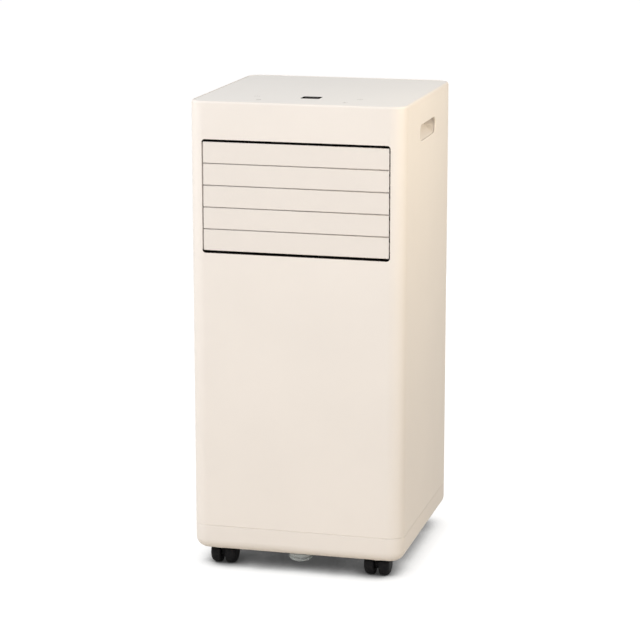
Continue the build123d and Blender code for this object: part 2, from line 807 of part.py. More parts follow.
def make_slat(z, right_pin_end, laps):
    """One louver slat with its pins and the crank pressed on the left one; its lip laps the slat below, if any."""
    lip_front = slat_back + slat_lip_gap
    lip_back = lip_front + slat_lip_thickness
    lip_bottom = -slat_half_height - slat_gap - slat_lip_overlap
    face = [(slat_face, -slat_half_height), (slat_face, slat_half_height), (slat_back, slat_half_height)]
    lip = [(slat_back, lip_bottom + 4 * slat_lip_thickness), (lip_back, lip_bottom + 3 * slat_lip_thickness),
           (lip_back, lip_bottom), (lip_front, lip_bottom), (lip_front, -slat_half_height)]
    section = make_face(Polyline(*face, *(lip if laps else [(slat_back, -slat_half_height)]), close=True))
    fronts = section.vertices().group_by(Axis.X)[0]
    section = fillet(fronts, slat_edge_radius)
    cheek = Circle(pivot_boss_radius) + make_face(Polyline(
        (slat_back, -2 * pivot_boss_radius), (slat_back, 2 * pivot_boss_radius),
        (pivot_boss_radius / 2, slat_cheek_nose), (pivot_boss_radius / 2, -slat_cheek_nose),
        close=True))
    place = Pos(pivot_y, z)
    crank_end = crank_x - crank_thickness
    slat = prism_x(place * section, -slat_half_length, slat_half_length)
    for x0 in (-slat_half_length, slat_half_length - slat_cheek):
        slat += prism_x(place * cheek, x0, x0 + slat_cheek)
    slat += rod_x(pivot_radius, crank_end, slat_cheek - slat_half_length, pivot_y, z)
    slat += rod_x(pivot_radius, slat_half_length - slat_cheek, right_pin_end, pivot_y, z)
    arm = Circle(pivot_boss_radius) + Pos(crank_radius, 0) * Circle(crank_eye_radius)
    arm += Pos(crank_radius / 2, 0) * Rectangle(crank_radius, 2 * crank_eye_radius)
    arm -= Circle(pivot_radius)
    crank = prism_x(place * arm, crank_end, crank_x)
    crank += rod_x(crank_pin_radius, link_x - crank_thickness - side_gap, crank_end, pivot_y + crank_radius, z)
    return group([slat, crank])


def make_link():
    """Bar that joins the five cranks so that the slats turn as one."""
    length = pivot_heights[-1] - pivot_heights[0] + link_breadth
    bar = Pos(pivot_y + crank_radius, louver_mid) * SlotOverall(length, link_breadth, rotation=90)
    for z in pivot_heights:
        bar -= Pos(pivot_y + crank_radius, z) * Circle(crank_pin_radius + running_clearance)
    return prism_x(bar, link_x - crank_thickness, link_x)


def make_swing_motor():
    """Flat geared motor beside the duct that turns the middle slat."""
    z = pivot_heights[slat_count // 2]
    x0 = duct_outer_x
    body = rod_x(swing_motor_radius, x0, x0 + swing_motor_length, pivot_y + swing_motor_offset, z)
    body += rod_x(swing_nose_radius, x0, x0 + swing_nose_length, pivot_y, z)
    body += block(x0, x0 + swing_nose_length, pivot_y, pivot_y + swing_motor_offset,
                  z - swing_nose_radius, z + swing_nose_radius)
    return body - rod_x(pivot_radius + running_clearance, x0 - overcut, x0 + swing_nose_length + overcut, pivot_y, z)


def make_coil(half_width_x, z0, height, passes, free_side):
    """Finned block and its return bends; the free side keeps the first and last pass open."""
    slots = int(2 * half_width_x / fin_pitch) - 1
    start = -fin_pitch * slots / 2
    front = []
    for i in range(slots):
        x = start + i * fin_pitch
        front += [(x, 0), (x, fin_slot_depth), (x + fin_slot, fin_slot_depth), (x + fin_slot, 0)]
    back = [(x, coil_thickness - y) for x, y in reversed(front)]
    comb = [(-half_width_x, 0)] + front + [(half_width_x, 0), (half_width_x, coil_thickness)]
    comb += back + [(-half_width_x, coil_thickness)]
    section = Pos(0, coil_front) * make_face(Polyline(*comb, close=True))
    fins = prism_z(section, z0, z0 + height)
    bends = []
    for side in (-1, 1):
        first = 1 if side == free_side else 0
        for k in range(first, passes - 1, 2):
            for y in coil_rows():
                low = z0 + pass_margin + k * pass_pitch
                x = side * half_width_x
                points = [(x, y, low), (x + side * bend_reach, y, low),
                          (x + side * bend_reach, y, low + pass_pitch), (x, y, low + pass_pitch)]
                bends.append(tube_along(points, bend_tube_radius, bend_corner))
    return fins, group(bends)


def coil_rows():
    """Depths of the two rows of tubes in a coil."""
    return coil_front + coil_thickness / 4, coil_front + 3 * coil_thickness / 4


def make_deck():
    """Tray between the compartments that catches the evaporator's water."""
    edge = wall + panel_gap
    rear = rear_seam - rear_lip_reach - panel_gap
    plate = prism_z(outline(edge), deck_underside, deck_top + deck_rim)
    plate -= prism_z(outline(edge + casing_wall), deck_top, deck_top + deck_rim + overcut)
    plate &= front_half(rear)
    plate += block(-inner_x + corner_radius, inner_x - corner_radius, rear - casing_wall, rear,
                   deck_underside, deck_top + deck_rim)
    middle = coil_rows()[0]
    plate -= block(pipe_notch_x, half_width, middle - pipe_notch_depth / 2,
                   coil_rows()[1] + pipe_notch_depth / 2, deck_underside - overcut, deck_top + deck_rim + overcut)
    return plate


def scroll_section(axis_y, axis_z, radius, outlet_y, outlet_low, inset):
    """Scroll outline in Y and Z: a round drum with a straight outlet along its top."""
    drum = Pos(axis_y, axis_z) * Circle(radius - inset)
    top = axis_z + radius - inset
    low = outlet_low + inset
    return drum + Pos((axis_y + outlet_y) / 2, (top + low) / 2) * Rectangle(abs(outlet_y - axis_y), top - low)


def make_casing(axis_y, axis_z, half_length, radius, wheel_r, outlet_y, outlet_height):
    """Blower casing, open at its outlet and at both inlets."""
    low = axis_z + radius - outlet_height
    past = outlet_y + (overcut if outlet_y > axis_y else -overcut)
    casing = prism_x(scroll_section(axis_y, axis_z, radius, outlet_y, low, 0), -half_length, half_length)
    casing -= prism_x(scroll_section(axis_y, axis_z, radius, past, low, casing_wall),
                      casing_wall - half_length, half_length - casing_wall)
    return casing - rod_x(wheel_r - inlet_lap, -cabinet_width, cabinet_width, axis_y, axis_z)


def make_blower_wheel(axis_y, axis_z, half_length, radius):
    """Double-inlet wheel: leaning blades between end rings and a centre disc."""
    reach = half_length - casing_wall - wheel_side_gap
    blade = Pos(radius - blade_length / 2, 0) * Rot(0, 0, blade_lean) * Rectangle(blade_length, blade_thickness)
    blades = [Rot(0, 0, i * 360 / blade_count) * blade for i in range(blade_count)]
    section = Sketch() + blades
    place = Pos(axis_y, axis_z)
    wheel = prism_x(place * section, -reach, reach)
    hoop = Circle(radius) - Circle(radius - blade_length)
    for x0 in (-reach, reach - ring_thickness):
        wheel += prism_x(place * hoop, x0, x0 + ring_thickness)
    wheel += rod_x(radius, -disc_thickness / 2, disc_thickness / 2, axis_y, axis_z)
    wheel += rod_x(hub_radius, -hub_length / 2, hub_length / 2, axis_y, axis_z)
    return wheel - rod_x(shaft_radius, -half_length, half_length, axis_y, axis_z)


def make_shaft(axis_y, axis_z, half_length, side):
    """Shaft from inside the motor to the far end of the wheel's hub."""
    motor_end = side * (half_length + arm_thickness + shaft_socket)
    far_end = -side * hub_length / 2
    return rod_x(shaft_radius, *sorted((motor_end, far_end)), axis_y, axis_z)


def make_motor(axis_y, axis_z, half_length, wheel_r, side):
    """Fan motor on three arms across one inlet of the casing."""
    face = side * half_length
    inner = face + side * arm_thickness
    body = rod_x(motor_radius, *sorted((face, inner + side * motor_length)), axis_y, axis_z)
    end = -1 if side > 0 else 0
    body = fillet(body.faces().sort_by(Axis.X)[end].edges(), motor_edge_radius)
    for i in range(arm_count):
        arm = Rot(0, 0, i * 360 / arm_count) * Pos((wheel_r + inlet_lap / 2) / 2, 0) * Rectangle(
            wheel_r + inlet_lap / 2, arm_width)
        body += prism_x(Pos(axis_y, axis_z) * arm, *sorted((face, inner)))
    socket_end = inner + side * (shaft_socket + panel_gap)
    return body - rod_x(shaft_radius + running_clearance, *sorted((face - side * overcut, socket_end)), axis_y, axis_z)


def make_hot_casing():
    """Condenser blower casing with the two hangers that hold it under the deck."""
    casing = make_casing(hot_axis_y, hot_axis_z, hot_half_width, hot_scroll_radius, hot_wheel_radius,
                         hot_outlet_y, hot_outlet_height)
    top = hot_axis_z + hot_scroll_radius
    for side in (-1, 1):
        x0 = side * hanger_spacing - casing_wall
        casing += block(x0, x0 + 2 * casing_wall, hot_axis_y, hot_axis_y + hanger_length,
                        top - casing_wall / 2, deck_underside)
    return casing


def make_exhaust_duct():
    """Box from the hot blower's outlet to the round hose port in the back."""
    low = exhaust_z - exhaust_box_height / 2
    high = exhaust_z + exhaust_box_height / 2
    outlet_high = hot_axis_z + hot_scroll_radius
    outlet_low = outlet_high - hot_outlet_height
    duct = block(-hot_half_width, hot_half_width, hot_outlet_y, spigot_front, low, high)
    duct -= block(casing_wall - hot_half_width, hot_half_width - casing_wall, hot_outlet_y + casing_wall,
                  spigot_front - casing_wall, low + casing_wall, high - casing_wall)
    duct -= block(casing_wall - hot_half_width, hot_half_width - casing_wall, hot_outlet_y - overcut,
                  hot_outlet_y + 2 * casing_wall, outlet_low + casing_wall, outlet_high - casing_wall)
    duct += rod_y(exhaust_bore_radius + spigot_wall, spigot_front - casing_wall / 2, spigot_rear, 0, exhaust_z)
    duct -= rod_y(exhaust_bore_radius, spigot_front - 2 * casing_wall, spigot_rear + overcut, 0, exhaust_z)
    spacing = 2 * exhaust_bore_radius / (guard_bars + 1)
    guard_rear = spigot_front - casing_wall
    port = rod_y(exhaust_bore_radius + spigot_wall, guard_rear - guard_bar_width, guard_rear, 0, exhaust_z)
    for i in range(guard_bars):
        z = exhaust_z - exhaust_bore_radius + spacing * (i + 1)
        bar = block(-hot_half_width, hot_half_width, guard_rear - guard_bar_width, guard_rear,
                    z - guard_bar_width / 2, z + guard_bar_width / 2)
        duct += bar & port
    return duct


def foot_places():
    """Three compressor feet on one circle."""
    return [(compressor_x + foot_circle * cos(radians(a)), compressor_y + foot_circle * sin(radians(a)))
            for a in foot_angles]


def make_compressor():
    """Welded steel can with its foot plate and discharge stub."""
    can = rod_z(compressor_radius, compressor_bottom, compressor_top, compressor_x, compressor_y)
    can = fillet(can.edges().filter_by(GeomType.CIRCLE), compressor_dome)
    plate = Pos(compressor_x, compressor_y) * Circle(foot_plate_radius)
    for x, y in foot_places():
        plate += Pos(x, y) * Circle(foot_radius)
    can += prism_z(plate, foot_plate_bottom, foot_plate_bottom + foot_plate)
    for x, y in foot_places():
        can -= rod_z(stud_radius + stud_clearance, foot_plate_bottom - overcut,
                     foot_plate_bottom + foot_plate + overcut, x, y)
    return can


def make_grommets():
    """Rubber mounts under the compressor's feet."""
    mounts = []
    for x, y in foot_places():
        sleeve = rod_z(grommet_radius, foot_boss_top, foot_plate_bottom, x, y)
        mounts.append(sleeve - rod_z(stud_radius + stud_clearance, foot_boss_top, foot_plate_bottom, x, y))
    return group(mounts)


def make_foot_bolts():
    """Studs with nuts that hold the compressor down."""
    bolts = []
    nut_bottom = foot_plate_bottom + foot_plate
    for x, y in foot_places():
        bolt = rod_z(stud_radius, foot_boss_top, nut_bottom + nut_height + stud_past_nut, x, y)
        nut = prism_z(Pos(x, y) * RegularPolygon(nut_size, 6), nut_bottom, nut_bottom + nut_height)
        bolts.append(bolt + nut)
    return group(bolts)


def make_accumulator():
    """Suction accumulator strapped to the compressor, with its inlet bend."""
    dx = accumulator_x - compressor_x
    dy = accumulator_y - compressor_y
    gap = hypot(dx, dy) - compressor_radius - panel_gap
    can = rod_z(accumulator_radius, accumulator_bottom, accumulator_top, accumulator_x, accumulator_y)
    can = fillet(can.edges().filter_by(GeomType.CIRCLE), accumulator_dome)
    turn = Pos(accumulator_x, accumulator_y, strap_z) * Rot(0, 0, degrees(atan2(dy, dx)))
    can += turn * Pos(-gap / 2, 0, 0) * Box(gap, strap_width, strap_height)
    end = (accumulator_x - dx * gap / hypot(dx, dy), accumulator_y - dy * gap / hypot(dx, dy), accumulator_pipe_z)
    corner = (accumulator_x, accumulator_y, accumulator_pipe_z)
    start = (accumulator_x, accumulator_y, accumulator_bottom + accumulator_dome / 2)
    return can + tube_along([start, corner, end], pipe_radius, pipe_bend)


def make_pipes():
    """Discharge, suction and liquid lines between compressor and coils."""
    front_row, rear_row = coil_rows()
    condenser_in = condenser_bottom + pass_margin + (condenser_passes - 1) * pass_pitch
    condenser_out = condenser_bottom + pass_margin
    evaporator_in = deck_top + pass_margin
    edge = -condenser_half_width
    discharge = tube_along([
        (discharge_x, compressor_y, compressor_top), (discharge_x, compressor_y, discharge_z),
        (-riser_x, compressor_y, discharge_z), (-riser_x, front_row, discharge_z),
        (-riser_x, front_row, condenser_in), (edge, front_row, condenser_in)], pipe_radius, pipe_bend)
    suction_z = accumulator_top + 3 * pipe_bend
    suction = tube_along([
        (evaporator_half_width, front_row, evaporator_in), (riser_x, front_row, evaporator_in),
        (riser_x, front_row, suction_z), (riser_x, accumulator_y, suction_z),
        (accumulator_x, accumulator_y, suction_z), (accumulator_x, accumulator_y, accumulator_top)],
        pipe_radius, pipe_bend)
    liquid = tube_along([
        (condenser_half_width, rear_row, condenser_out), (liquid_riser_x, rear_row, condenser_out),
        (liquid_riser_x, rear_row, evaporator_in), (evaporator_half_width, rear_row, evaporator_in)],
        liquid_pipe_radius, pipe_bend)
    return group([discharge, suction, liquid])


def make_control_box():
    """Electrical box screwed under the deck."""
    case = block(box_x0, box_x1, box_front, box_back, box_top - box_height, box_top)
    return fillet(case.edges().filter_by(Axis.Z), box_corner)


def splash_wheel_front():
    """Front face of the splash wheel."""
    return coil_front - splash_gap - splash_thickness


def make_splash_motor():
    """Small motor on a foot in the sump."""
    rear = splash_wheel_front() - splash_gap
    front = rear - splash_motor_length
    middle = (front + rear) / 2
    body = rod_y(splash_motor_radius, front, rear, splash_x, splash_z)
    body += block(splash_x - splash_foot_width / 2, splash_x + splash_foot_width / 2, middle - splash_foot_depth / 2,
                  middle + splash_foot_depth / 2, base_floor_top, splash_z)
    return body - rod_y(splash_shaft_radius + running_clearance, middle, rear + overcut, splash_x, splash_z)


def make_splash_wheel():
    """Paddle disc with its shaft."""
    front = splash_wheel_front()
    disc = Circle(splash_radius)
    for i in range(splash_paddles):
        notch = Rot(0, 0, i * 360 / splash_paddles) * Pos(splash_radius, 0) * Rectangle(
            splash_paddle_depth, splash_paddle_depth)
        disc -= notch
    wheel = prism_y(Pos(splash_x, splash_z) * disc, front, front + splash_thickness)
    shaft_front = front - splash_gap - splash_motor_length / 2 + panel_gap
    return wheel + rod_y(splash_shaft_radius, shaft_front, front + splash_thickness, splash_x, splash_z)


def make_gland():
    """Rubber bush where the mains lead enters."""
    rear = half_depth - grille_gap
    flange_rear = half_depth - wall
    bush = rod_y(gland_radius, flange_rear - gland_flange_thickness, rear, gland_x, gland_z)
    bush += rod_y(gland_flange_radius, flange_rear - gland_flange_thickness, flange_rear, gland_x, gland_z)
    return bush - rod_y(gland_bore_radius, rear_seam, half_depth, gland_x, gland_z)


def make_screws():
    """Screws that hold the rear panel to the front shell."""
    screws = []
    tip = rear_seam - 2 * panel_gap - lug_thickness
    head = half_depth - screw_head_height
    for height in screw_heights:
        for side in (-1, 1):
            screw = rod_y(screw_radius, tip, head, side * screw_x, height)
            screw += rod_y(screw_head_radius - panel_gap, head, half_depth - grille_gap, side * screw_x, height)
            screws.append(screw)
    return group(screws)


def make_all():
    """Every piece by its name."""
    cold = (cold_axis_y, cold_axis_z, cold_half_width)
    hot = (hot_axis_y, hot_axis_z, hot_half_width)
    pieces = {
        "front_shell": make_front_shell(),
        "rear_panel": make_rear_panel(),
        "top_cover": make_top_cover(),
        "base_pan": make_base_pan(),
        "grip_cups": make_grip_cups(),
        "display_window": make_display(),
        "control_board": make_control_board(),
        "outlet_duct": make_outlet_duct(),
        "louver_link": make_link(),
        "swing_motor": make_swing_motor(),
        "drip_deck": make_deck(),
        "cold_blower_casing": make_casing(*cold, cold_scroll_radius, cold_wheel_radius, cold_outlet_y,
                                          cold_outlet_height),
        "cold_blower_wheel": make_blower_wheel(*cold, cold_wheel_radius),
        "cold_blower_shaft": make_shaft(*cold, -1),
        "cold_blower_motor": make_motor(*cold, cold_wheel_radius, -1),
        "hot_blower_casing": make_hot_casing(),
        "hot_blower_wheel": make_blower_wheel(*hot, hot_wheel_radius),
        "hot_blower_shaft": make_shaft(*hot, 1),
        "hot_blower_motor": make_motor(*hot, hot_wheel_radius, 1),
        "exhaust_duct": make_exhaust_duct(),
        "compressor": make_compressor(),
        "compressor_grommets": make_grommets(),
        "compressor_bolts": make_foot_bolts(),
        "accumulator": make_accumulator(),
        "refrigerant_pipes": make_pipes(),
        "control_box": make_control_box(),
        "splash_motor": make_splash_motor(),
        "splash_wheel": make_splash_wheel(),
        "drain_cup": make_drain_cup(),
        "cord_gland": make_gland(),
        "panel_screws": make_screws(),
        "upper_grille": make_grille(upper_grille_z, upper_grille_height),
        "upper_filter": make_filter(upper_grille_z, upper_grille_height),
        "lower_grille": make_grille(lower_grille_z, lower_grille_height),
        "lower_filter": make_filter(lower_grille_z, lower_grille_height),
    }
    pieces["evaporator_fins"], pieces["evaporator_bends"] = make_coil(
        evaporator_half_width, deck_top, evaporator_height, evaporator_passes, 1)
    pieces["condenser_fins"], pieces["condenser_bends"] = make_coil(
        condenser_half_width, condenser_bottom, condenser_height, condenser_passes, 1)
    for name, place in key_places.items():
        pieces[name] = make_key(place)
    plain_pin = duct_outer_x - running_clearance
    for i, z in enumerate(pivot_heights):
        driven = i == slat_count // 2
        pieces[f"louver_slat_{i + 1}"] = make_slat(z, plain_pin + (swing_nose_length if driven else 0), i > 0)
    for (name, lead), (x, y) in zip(caster_leads.items(), caster_places()):
        pieces[f"caster_fork_{name}"] = make_fork(x, y, lead)
        pieces[f"caster_wheel_{name}_a"] = make_wheel(x, y, lead, -1)
        pieces[f"caster_wheel_{name}_b"] = make_wheel(x, y, lead, 1)
    return pieces


os.makedirs("parts", exist_ok=True)
for node, piece in make_all().items():
    export_step(piece, f"parts/{node}.step")
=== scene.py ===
from math import cos, pi, radians, sin
import bmesh
import bpy
import numpy as np
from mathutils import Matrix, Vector


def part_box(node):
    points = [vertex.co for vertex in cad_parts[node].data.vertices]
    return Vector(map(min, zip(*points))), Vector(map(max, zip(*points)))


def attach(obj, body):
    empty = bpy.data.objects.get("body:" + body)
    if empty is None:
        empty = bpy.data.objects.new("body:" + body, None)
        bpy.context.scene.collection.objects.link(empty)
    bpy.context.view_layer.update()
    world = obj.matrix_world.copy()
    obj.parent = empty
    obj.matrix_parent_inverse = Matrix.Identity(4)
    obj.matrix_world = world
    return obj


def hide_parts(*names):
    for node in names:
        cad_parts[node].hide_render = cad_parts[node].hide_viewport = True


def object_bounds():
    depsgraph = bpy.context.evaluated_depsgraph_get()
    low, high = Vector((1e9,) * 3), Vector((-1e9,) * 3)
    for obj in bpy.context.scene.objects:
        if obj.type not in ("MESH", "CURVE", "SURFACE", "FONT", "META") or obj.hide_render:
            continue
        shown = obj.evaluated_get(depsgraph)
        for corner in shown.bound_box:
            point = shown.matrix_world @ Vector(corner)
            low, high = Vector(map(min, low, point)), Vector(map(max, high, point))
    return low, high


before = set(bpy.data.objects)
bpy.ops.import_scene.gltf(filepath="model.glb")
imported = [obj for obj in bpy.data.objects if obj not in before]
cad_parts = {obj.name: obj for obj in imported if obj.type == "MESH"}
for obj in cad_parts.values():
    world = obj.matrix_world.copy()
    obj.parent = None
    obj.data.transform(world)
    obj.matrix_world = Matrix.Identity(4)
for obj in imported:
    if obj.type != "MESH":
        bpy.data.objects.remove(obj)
solid_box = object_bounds()


# Base pan
# The tray that the whole machine stands in, one injection moulding in cream plastic. The mould was spark
# eroded, which leaves a fine matt grain. Its lip rises inside the front shell and the rear panel.
def fit(tree, kind, sockets=None, **options):
    """Adds a shader node, sets its options and fills its sockets; another node's output is linked."""
    made = tree.nodes.new("ShaderNode" + kind)
    for option, value in options.items():
        setattr(made, option, value)
    for socket, value in (sockets or {}).items():
        if isinstance(value, bpy.types.NodeSocket):
            tree.links.new(value, made.inputs[socket])
        else:
            made.inputs[socket].default_value = value
    return made


def start_finish(name):
    """A new material, with its node tree, its shader and the object's own coordinates."""
    finish = bpy.data.materials.new(name)
    finish.use_nodes = True
    tree = finish.node_tree
    return finish, tree, tree.nodes["Principled BSDF"], fit(tree, "TexCoord").outputs["Object"]


def fill(tree, shader, **sockets):
    """Fills the shader's sockets: a value is set on the socket, an output is linked to it."""
    for socket, value in sockets.items():
        name = socket.replace("_", " ")
        if isinstance(value, bpy.types.NodeSocket):
            tree.links.new(value, shader.inputs[name])
        else:
            shader.inputs[name].default_value = value


def blend_ramp(tree, amount, *stops):
    """Colours along a value from 0 to 1: each stop is a place and a colour."""
    ramp = fit(tree, "ValToRGB", {"Fac": amount})
    marks = ramp.color_ramp.elements
    while len(marks) < len(stops):
        marks.new(0.5)
    for mark, (place, colour) in zip(marks, stops):
        mark.position = place
        mark.color = (*colour, 1.0)
    return ramp.outputs["Color"]


def shade(colour, share):
    """The colour with its light scaled by a share."""
    return tuple(share * part for part in colour)


def spread(tree, value, low, high):
    """A value from 0 to 1 carried to the range from low to high."""
    return fit(tree, "MapRange", {"Value": value, "To Min": low, "To Max": high}).outputs["Result"]


def speckle(tree, place, scale, detail, **sockets):
    """Noise from 0 to 1 over the surface, with a scale in marks to the metre and a number of finer octaves."""
    return fit(tree, "TexNoise", {"Vector": place, "Scale": scale, "Detail": detail, **sockets}).outputs["Fac"]


def relief(tree, height, strength, depth):
    """The surface's direction, tilted as if a height from 0 to 1 stood out by a depth in metres."""
    return fit(tree, "Bump", {"Height": height, "Strength": strength, "Distance": depth}).outputs["Normal"]


def moulded(name, colour, rough, grain=0.0007, depth=0.00002, drift=0.025, specular=0.35):
    """Moulded plastic: colour that drifts slowly, eroded grain as bump, roughness that follows the grain."""
    finish, tree, shader, place = start_finish(name)
    cloud = speckle(tree, place, scale=7.0, detail=3.0)
    pits = speckle(tree, place, scale=1 / grain, detail=2.0)
    fill(tree, shader, Base_Color=blend_ramp(tree, cloud, (0.3, shade(colour, 1 - drift)), (0.7, colour)),
         Roughness=spread(tree, pits, rough - 0.05, rough + 0.07),
         Normal=relief(tree, pits, strength=0.35, depth=depth), Specular_IOR_Level=specular)
    return finish


def put_on(finish, *nodes):
    """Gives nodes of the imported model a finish."""
    for node in nodes:
        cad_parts[node].material_slots[0].material = finish


def rank_planes(mesh):
    """Ranks each face by the area of all the faces in its plane, so that broad flats rule the shading at their
    rims. Faces share a plane where its direction and its distance from the origin round to the same steps."""
    count = len(mesh.polygons)
    normal, middle, area = np.empty(3 * count), np.empty(3 * count), np.empty(count)
    mesh.polygons.foreach_get("normal", normal)
    mesh.polygons.foreach_get("center", middle)
    mesh.polygons.foreach_get("area", area)
    normal, middle = normal.reshape(-1, 3), middle.reshape(-1, 3)
    direction_steps, metre_steps = 500, 2e4
    distance = (normal * middle).sum(1)
    plane = np.round(np.column_stack([direction_steps * normal, metre_steps * distance])).astype(int)
    group = np.unique(plane, axis=0, return_inverse=True)[1].ravel()
    broad = np.bincount(group, area)[group]
    weak, medium, strong = -16384, 0, 16384
    facet_area, flat_area = 1e-4, 5e-3
    rank = np.where(broad > flat_area, strong, np.where(broad > facet_area, medium, weak)).astype(np.int32)
    ranks = mesh.attributes.new("__mod_weightednormals_faceweight", "INT", "FACE")
    ranks.data.foreach_set("value", rank)


def soften(node, body, finish, crease=32):
    """A merged copy of a node that stands for it: soft shading over its rounded edges, crisp at its creases."""
    weld, sliver = 2e-6, 1e-7
    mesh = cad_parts[node].data.copy()
    work = bmesh.new()
    work.from_mesh(mesh)
    bmesh.ops.remove_doubles(work, verts=work.verts, dist=weld)
    bmesh.ops.dissolve_degenerate(work, edges=work.edges, dist=sliver)
    work.to_mesh(mesh)
    work.free()
    mesh.shade_smooth()
    mesh.set_sharp_from_angle(angle=radians(crease))
    mesh.materials.clear()
    mesh.materials.append(finish)
    rank_planes(mesh)
    shown = bpy.data.objects.new(node + "_skin", mesh)
    bpy.context.scene.collection.objects.link(shown)
    even = shown.modifiers.new("even", "WEIGHTED_NORMAL")
    even.keep_sharp = True
    even.use_face_influence = True
    even.weight = 100
    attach(shown, body)
    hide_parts(node)
    return shown


cream = (0.838, 0.795, 0.765)
cream_base = moulded("cream_base", shade(cream, 0.98), 0.50)
soften("base_pan", "cabinet", cream_base)


# Casters
# Four twin-wheel furniture casters in black nylon. Each fork has its fender and stem in one moulding and a
# steel axle pressed through; the two wheels of a fork run free on it, and the floor scuffs their treads.
def scuffed(name, colour, rough, scuff, specular):
    """Nylon with pale scuffs where a stretched noise crosses a threshold."""
    finish, tree, shader, place = start_finish(name)
    turned = fit(tree, "Mapping", {"Vector": place, "Scale": (1.0, 0.25, 1.0)}).outputs["Vector"]
    worn = speckle(tree, turned, scale=260.0, detail=6.0, Roughness=0.7)
    fine = speckle(tree, place, scale=1800.0, detail=2.0)
    fill(tree, shader, Base_Color=blend_ramp(tree, worn, (0.45, colour), (0.72, scuff)),
         Roughness=spread(tree, worn, rough - 0.08, rough + 0.22),
         Normal=relief(tree, fine, strength=0.3, depth=0.00002), Specular_IOR_Level=specular)
    return finish


nylon_fork = scuffed("nylon_fork", (0.005, 0.005, 0.006), 0.52, (0.010, 0.010, 0.011), specular=0.12)
nylon_wheel = scuffed("nylon_wheel", (0.005, 0.005, 0.006), 0.55, (0.016, 0.016, 0.016), specular=0.12)
for corner in ("front_left", "front_right", "rear_left", "rear_right"):
    soften(f"caster_fork_{corner}", f"caster_{corner}", nylon_fork)
    for half in "ab":
        soften(f"caster_wheel_{corner}_{half}", f"wheel_{corner}_{half}", nylon_wheel)


# Drain cup
# A clear cup pushed over the drain ring under the front of the base, moulded in a hard water-clear plastic
# whose surface is a little hazy from handling.
def clear_moulding(name, tint, rough):
    """Clear plastic: light passes through, tinted, and a faint haze changes the roughness."""
    finish, tree, shader, place = start_finish(name)
    haze = speckle(tree, place, scale=180.0, detail=4.0)
    fill(tree, shader, Base_Color=blend_ramp(tree, haze, (0.3, shade(tint, 0.96)), (0.7, tint)),
         Roughness=spread(tree, haze, rough, rough + 0.10), IOR=1.49, Transmission_Weight=0.9)
    return finish


soften("drain_cup", "drain_cup", clear_moulding("clear_cup", (0.86, 0.90, 0.88), 0.06))


# Compressor group
# A welded steel can in black paint on three rubber mounts, with studs and nuts, and the suction accumulator
# strapped to its side. The paint has the orange peel of a dipped coat.
def painted(name, colour, rough, peel=0.004, depth=0.00012):
    """Thick paint: a soft orange peel as bump and a gloss that drifts."""
    finish, tree, shader, place = start_finish(name)
    waves = speckle(tree, place, scale=1 / peel, detail=1.5)
    dust = speckle(tree, place, scale=40.0, detail=5.0)
    fill(tree, shader, Base_Color=blend_ramp(tree, dust, (0.45, colour), (0.85, shade(colour, 2.2))),
         Roughness=spread(tree, dust, rough, rough + 0.2), Normal=relief(tree, waves, strength=0.4, depth=depth))
    return finish


def rubber(name, colour):
    """Black rubber: matt, with a bloom of paler dust."""
    finish, tree, shader, place = start_finish(name)
    bloom = speckle(tree, place, scale=120.0, detail=4.0)
    skin = speckle(tree, place, scale=2400.0, detail=2.0)
    fill(tree, shader, Base_Color=blend_ramp(tree, bloom, (0.4, colour), (0.8, shade(colour, 2.0))),
         Roughness=spread(tree, bloom, 0.62, 0.85), Normal=relief(tree, skin, strength=0.4, depth=0.00004),
         Specular_IOR_Level=0.3)
    return finish


def plated(name, colour, rough, spangle=0.004):
    """Zinc-plated steel: crystals of differing tone, with a fine grain in the gloss."""
    finish, tree, shader, place = start_finish(name)
    crystals = fit(tree, "TexVoronoi", {"Vector": place, "Scale": 1 / spangle}).outputs["Color"]
    tone = fit(tree, "RGBToBW", {"Color": crystals}).outputs["Val"]
    grain = speckle(tree, place, scale=900.0, detail=3.0)
    fill(tree, shader, Base_Color=blend_ramp(tree, tone, (0.0, shade(colour, 0.86)), (1.0, colour)),
         Roughness=spread(tree, tone, rough, rough + 0.14), Metallic=1.0,
         Normal=relief(tree, grain, strength=0.2, depth=0.00003))
    return finish


black_paint = painted("black_paint", (0.020, 0.020, 0.022), 0.32)
black_rubber = rubber("black_rubber", (0.022, 0.022, 0.022))
zinc_plate = plated("zinc_plate", (0.62, 0.63, 0.64), 0.28)
soften("compressor", "cabinet", black_paint)
soften("accumulator", "cabinet", black_paint)
put_on(black_rubber, "compressor_grommets", "cord_gland")
put_on(zinc_plate, "compressor_bolts", "control_box", "swing_motor", "splash_motor")
put_on(zinc_plate, "cold_blower_motor", "hot_blower_motor", "cold_blower_shaft", "hot_blower_shaft")


# Coils and refrigerant lines
# Each coil is a pack of thin aluminium fins pressed on copper hairpins, with copper bends brazed on at its
# ends. The fins are folded in a herringbone across the air's path, about 2 mm apart.
def copper(name, bright, dull):
    """Drawn copper: bright metal with duller, browner patches of oxide."""
    finish, tree, shader, place = start_finish(name)
    oxide = speckle(tree, place, scale=55.0, detail=6.0, Roughness=0.65)
    draw = speckle(tree, place, scale=1500.0, detail=2.0)
    fill(tree, shader, Base_Color=blend_ramp(tree, oxide, (0.35, bright), (0.70, dull)), Metallic=1.0,
         Roughness=spread(tree, oxide, 0.20, 0.48), Normal=relief(tree, draw, strength=0.2, depth=0.00002))
    return finish


